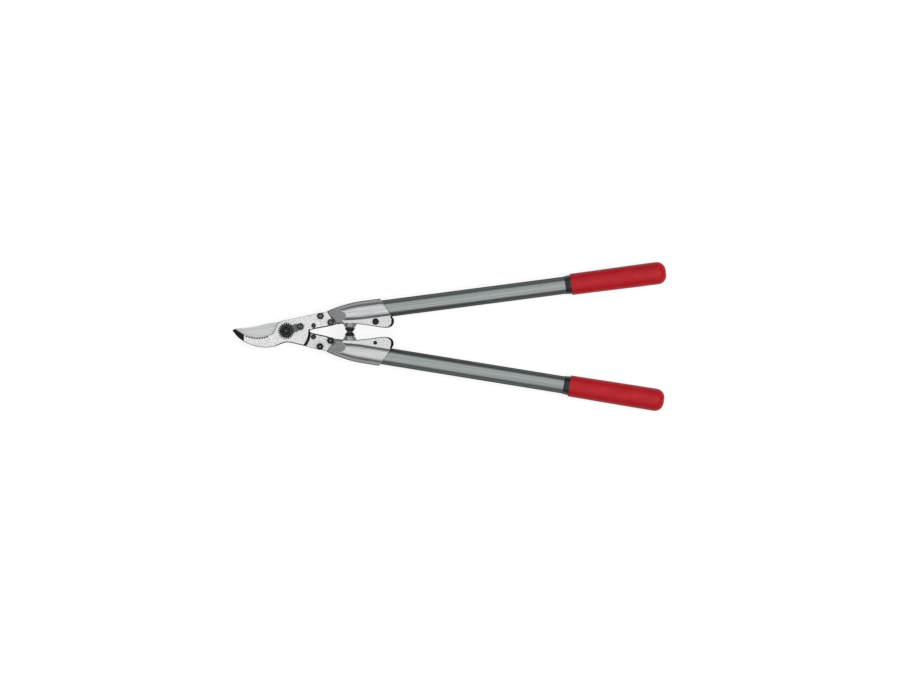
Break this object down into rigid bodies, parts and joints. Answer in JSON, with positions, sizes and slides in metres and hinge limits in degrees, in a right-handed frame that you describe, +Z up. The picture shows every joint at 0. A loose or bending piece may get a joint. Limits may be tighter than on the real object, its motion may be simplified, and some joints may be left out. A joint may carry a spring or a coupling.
{
  "type": "bypass lopper",
  "caption": "Two-handed bypass lopper with a hooked counter blade, cast heads on round tubular handles, moulded grips and rubber stop buffers, jaws closed.",
  "frame": {"origin": "centre of the footprint of the tool lying flat with its jaws closed, on the surface it lies on", "axes": "+X along the centre line from the jaws to the grips, +Y towards the handle that carries the hooked counter blade, +Z up, out of the side with the toothed nut"},
  "size_m": [0.5986, 0.2058, 0.031],
  "materials": {
    "blade_steel": "fine satin, ground bright along the edge",
    "black_steel": "black oxide, dull",
    "cast_aluminium": "tumbled casting, satin",
    "anodised_tube": "satin grey anodised",
    "red_grip": "soft matt moulded",
    "black_plastic": "matt",
    "black_rubber": "matt"
  },
  "bodies": {
    "upper_arm": {"counter_blade": "blade_steel", "pivot_bolt": "black_steel", "toothed_nut": "black_steel", "locking_segment": "black_steel", "locking_screw": "black_steel", "upper_handle_head": "cast_aluminium", "upper_tube": "anodised_tube", "upper_collar": "black_plastic", "upper_grip": "red_grip", "upper_buffer": "black_rubber", "upper_outer_bolt": "black_steel", "upper_inner_bolt": "black_steel", "upper_outer_nut": "black_steel", "upper_inner_nut": "black_steel", "upper_dowel_pin": "black_steel", "upper_clamp_screw": "black_steel"},
    "lower_arm": {"cutting_blade": "blade_steel", "lower_handle_head": "cast_aluminium", "lower_tube": "anodised_tube", "lower_collar": "black_plastic", "lower_grip": "red_grip", "lower_buffer": "black_rubber", "lower_outer_bolt": "black_steel", "lower_inner_bolt": "black_steel", "lower_outer_nut": "black_steel", "lower_inner_nut": "black_steel", "lower_dowel_pin": "black_steel", "lower_clamp_screw": "black_steel"}
  },
  "joints": [
    {"name": "main_pivot", "type": "hinge", "parent": "upper_arm", "child": "lower_arm", "pos_m": [-0.22446, 0, 0.0155], "axis": [0, 0, -1], "range_deg": [0, 60]}
  ]
}
